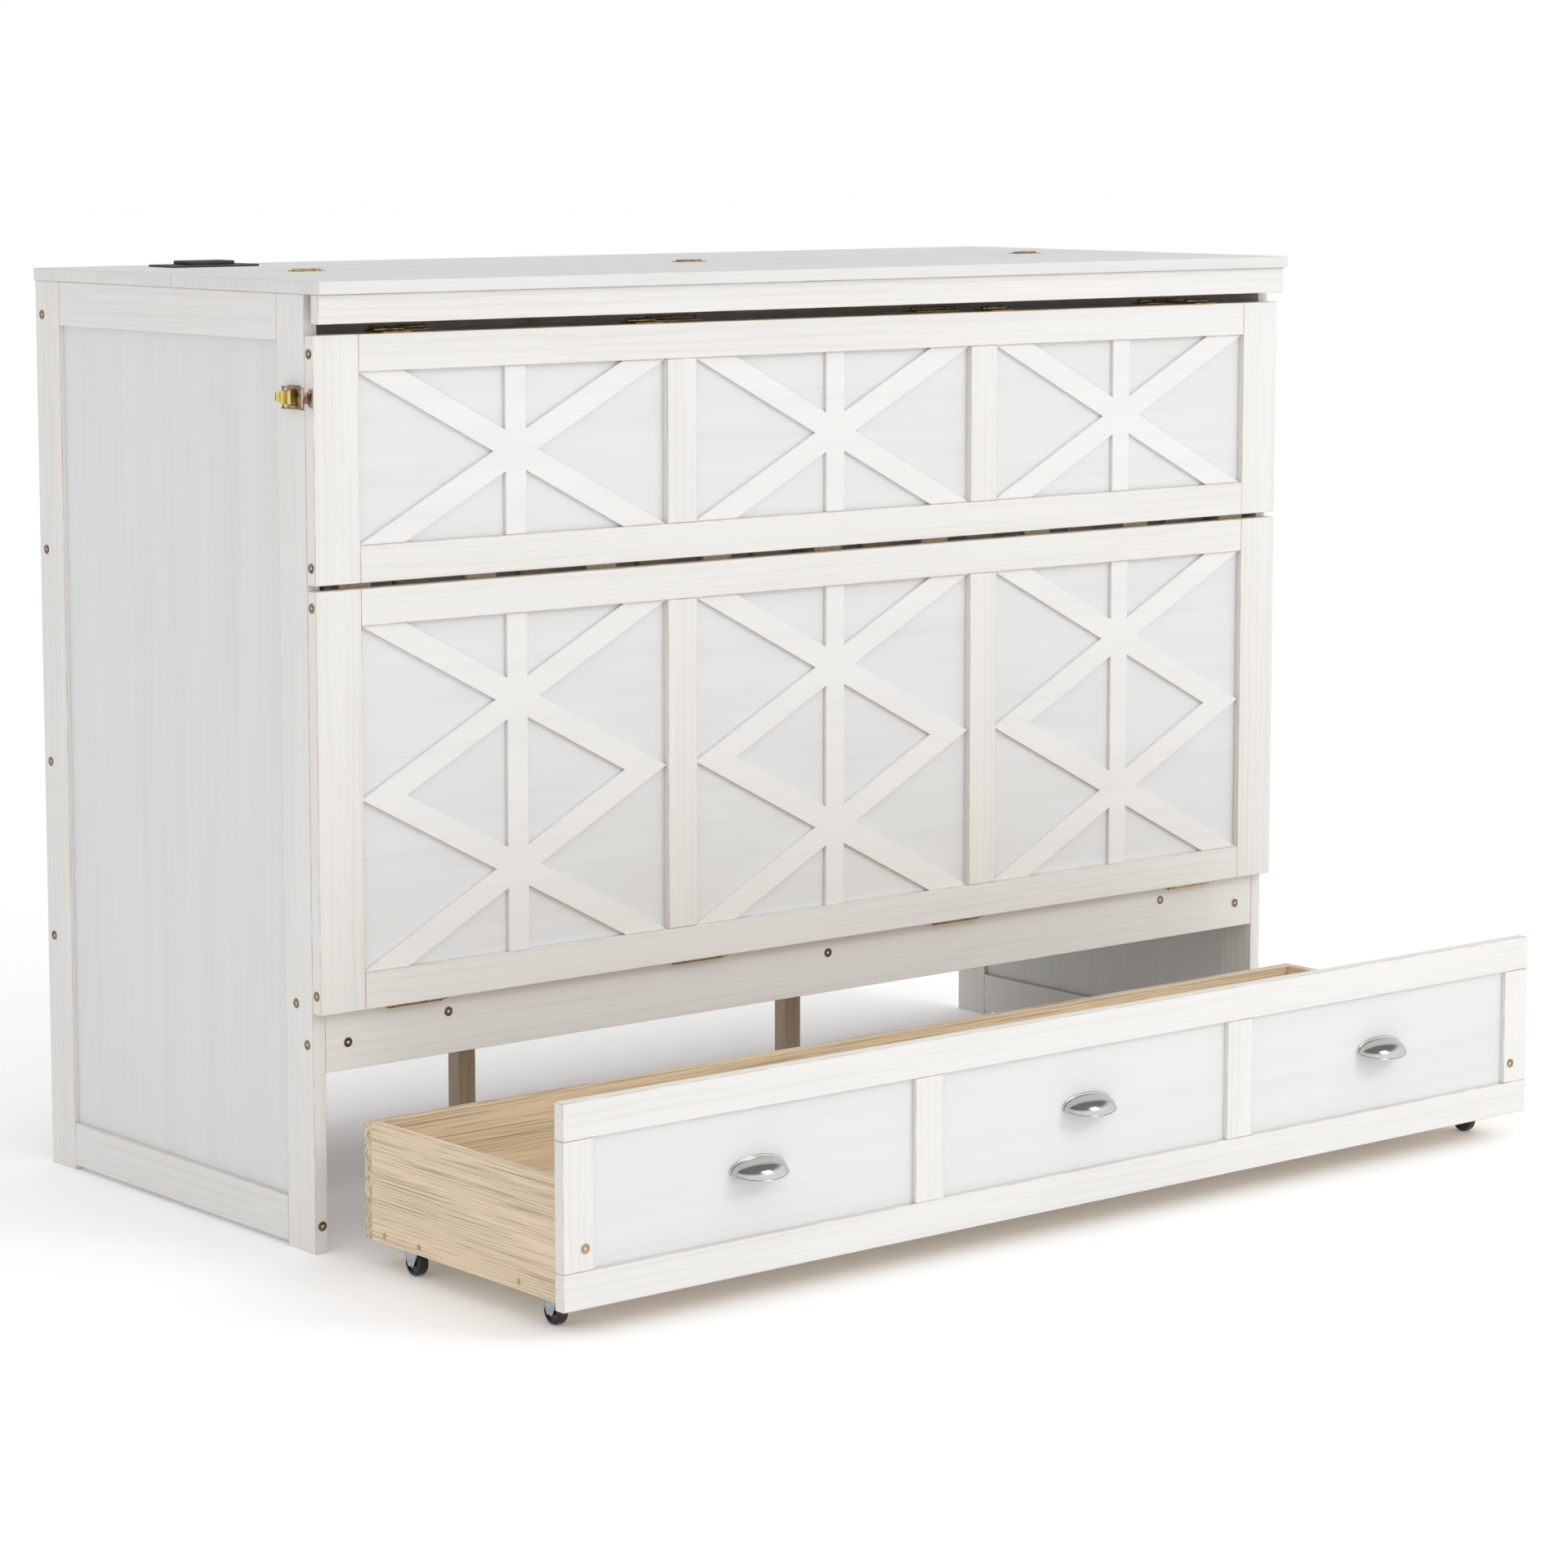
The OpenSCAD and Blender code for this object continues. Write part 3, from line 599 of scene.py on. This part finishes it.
def cup_flange(bm, centre, a, c):
    """Adds the thin flange round the top of a cup, flat against the drawer and tucked in behind the dome."""
    tuck, thick, thin = 1 * MM, 1.3 * MM, 0.5 * MM
    arcs = []
    for reach, proud in ((-tuck, 0.0), (-tuck, thick), (FLANGE * 0.7, thick), (FLANGE, thin), (FLANGE, 0.0)):
        arcs.append([
            bm.verts.new(centre + Vector((
                -(a + reach) * math.cos(math.pi * i / AROUND),
                -proud,
                (c + reach - MOUTH_RISE) * math.sin(math.pi * i / AROUND) ** 0.88 + MOUTH_RISE,
            ))) for i in range(AROUND + 1)
        ])
    for s0, s1 in zip(arcs, arcs[1:] + arcs[:1]):
        for i in range(AROUND):
            bm.faces.new([s0[i], s0[i + 1], s1[i + 1], s1[i]])
    for end in (0, AROUND):
        bm.faces.new([arc[end] for arc in arcs])


def cup_lip(bm, mouth):
    """Adds a rolled lip along the mouth of a cup."""
    ring, radius = 8, 0.8 * LIP
    up = Vector((0, 0, 1))
    loops = []
    for i, point in enumerate(mouth):
        ahead = (mouth[min(i + 1, AROUND)] - mouth[max(i - 1, 0)]).normalized()
        side = ahead.cross(up).normalized()
        loops.append([
            bm.verts.new(point + radius * (up + side * math.cos(angle) + up * math.sin(angle)))
            for angle in (2 * math.pi * k / ring for k in range(ring))
        ])
    for l0, l1 in zip(loops, loops[1:]):
        for k in range(ring):
            bm.faces.new([l0[k], l1[k], l1[(k + 1) % ring], l0[(k + 1) % ring]])
    bm.faces.new(loops[0])
    bm.faces.new(loops[-1][::-1])


def cup_pulls():
    """Three pulls: a full domed cup, its mouth higher at the ends, with a rolled lip and a thin flange."""
    low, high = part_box("cup_pulls")
    a, b, c = PULL_WIDTH / 2 - FLANGE, high.y - low.y - LIP, high.z - low.z - FLANGE
    bm = bmesh.new()
    for index in (-1, 0, 1):
        centre = Vector((index * ((high.x - low.x) - PULL_WIDTH) / 2, high.y, low.z))
        mouth = cup_dome(bm, centre, a, b, c)
        cup_flange(bm, centre, a, c)
        cup_lip(bm, mouth)
    bmesh.ops.remove_doubles(bm, verts=bm.verts, dist=0.02 * MM)
    bmesh.ops.recalc_face_normals(bm, faces=bm.faces)
    mesh_piece("cup_pull_shells", bm, "drawer", nickel, ("cup_pulls",), smooth=50.0)


cup_pulls()
refine("caster_brackets", zinc, 0.3 * MM)
for wheel in ("wheel_front_left", "wheel_front_right", "wheel_rear_left", "wheel_rear_right"):
    refine(wheel, tread, 0.4 * MM)


def axle_rivets():
    """Domed rivet heads where each wheel's axle comes through its bracket."""
    past_wheel = 1.9 * MM
    outline = [(0, 0), (3.4 * MM, 0), (3.1 * MM, 0.6 * MM), (2.0 * MM, 1.2 * MM), (0, 1.5 * MM)]
    bm = bmesh.new()
    for wheel in ("wheel_front_left", "wheel_front_right", "wheel_rear_left", "wheel_rear_right"):
        low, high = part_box(wheel)
        middle = (low + high) / 2
        for side in (-1, 1):
            x = middle.x + side * ((high.x - low.x) / 2 + past_wheel)
            add_lathe(bm, (x, middle.y, middle.z), outline if side > 0 else flipped(outline), along="X")
    bmesh.ops.recalc_face_normals(bm, faces=bm.faces)
    mesh_piece("axle_rivets", bm, "drawer", zinc)


axle_rivets()


# ---------------------------------------------------------------- floor, light and camera
def floor():
    bpy.ops.mesh.primitive_plane_add(size=120, location=(0, 0, 0))
    plane = bpy.context.object
    plane.name = "studio_floor"
    tree, shader = start_material("pale_floor", 0.7)
    shader.inputs["Base Color"].default_value = (0.93, 0.93, 0.93, 1)
    shader.inputs["Specular IOR Level"].default_value = 0.1
    shader.inputs["Emission Color"].default_value = (1, 1, 1, 1)
    shader.inputs["Emission Strength"].default_value = 0.11
    plane.data.materials.append(bpy.data.materials["pale_floor"])


def studio_world():
    """White to the camera; as light, brightest from the front, above and a little to the right.

    Reflections see a dark ceiling above a bright band, so that metal has contrast.
    """
    world = bpy.data.worlds.new("studio")
    bpy.context.scene.world = world
    world.use_nodes = True
    tree = world.node_tree
    lit = tree.nodes["Background"]
    lit.inputs["Color"].default_value = (1, 1, 1, 1)
    seen = tree.nodes.new("ShaderNodeBackground")
    seen.inputs["Color"].default_value = (1, 1, 1, 1)
    seen.inputs["Strength"].default_value = 1.0
    towards = tree.nodes.new("ShaderNodeVectorMath")
    towards.operation = "DOT_PRODUCT"
    towards.inputs[1].default_value = Vector((0.30, -0.62, 0.72)).normalized()
    direction = tree.nodes.new("ShaderNodeTexCoord").outputs["Generated"]
    tree.links.new(direction, towards.inputs[0])
    height = tree.nodes.new("ShaderNodeSeparateXYZ")
    tree.links.new(direction, height.inputs[0])
    path = tree.nodes.new("ShaderNodeLightPath")
    ceiling = ranged(tree, height.outputs["Z"], 0.42, 0.62, 0.0, 0.8)
    shaded = ranged(tree, times(tree, ceiling, path.outputs["Is Glossy Ray"]), 0.0, 1.0, 1.0, 0.0)
    gradient = ranged(tree, towards.outputs["Value"], -0.4, 1.0, 0.70, 1.17)
    tree.links.new(times(tree, gradient, shaded), lit.inputs["Strength"])
    choose = tree.nodes.new("ShaderNodeMixShader")
    tree.links.new(path.outputs["Is Camera Ray"], choose.inputs[0])
    tree.links.new(lit.outputs[0], choose.inputs[1])
    tree.links.new(seen.outputs[0], choose.inputs[2])
    tree.links.new(choose.outputs[0], tree.nodes["World Output"].inputs["Surface"])


def softbox(name, place, target, size, power):
    light = bpy.data.lights.new(name, "AREA")
    light.shape = "RECTANGLE"
    light.size, light.size_y = size
    light.energy = power
    lamp = bpy.data.objects.new(name, light)
    lamp.location = place
    lamp.rotation_euler = (Vector(target) - Vector(place)).to_track_quat("-Z", "Y").to_euler()
    bpy.context.scene.collection.objects.link(lamp)


def camera():
    """Looks down a little from the front left, through a long lens with a slight shift."""
    data = bpy.data.cameras.new("camera")
    data.sensor_width = 36
    data.lens = 100.82
    data.shift_y = -0.08
    data.clip_end = 200
    eye = bpy.data.objects.new("camera", data)
    eye.location = (-3.6846, -4.4435, 1.3625)
    turn, tilt = math.radians(39.4), math.radians(6.898)
    eye.rotation_euler = (math.pi / 2 - tilt, 0, -turn)
    bpy.context.scene.collection.objects.link(eye)
    bpy.context.scene.camera = eye


floor()
studio_world()
softbox("key_light", (2.2, -4.6, 3.6), (0, 0, 0.5), (1.6, 1.6), 55)
bpy.context.scene.view_settings.view_transform = "Standard"
camera()
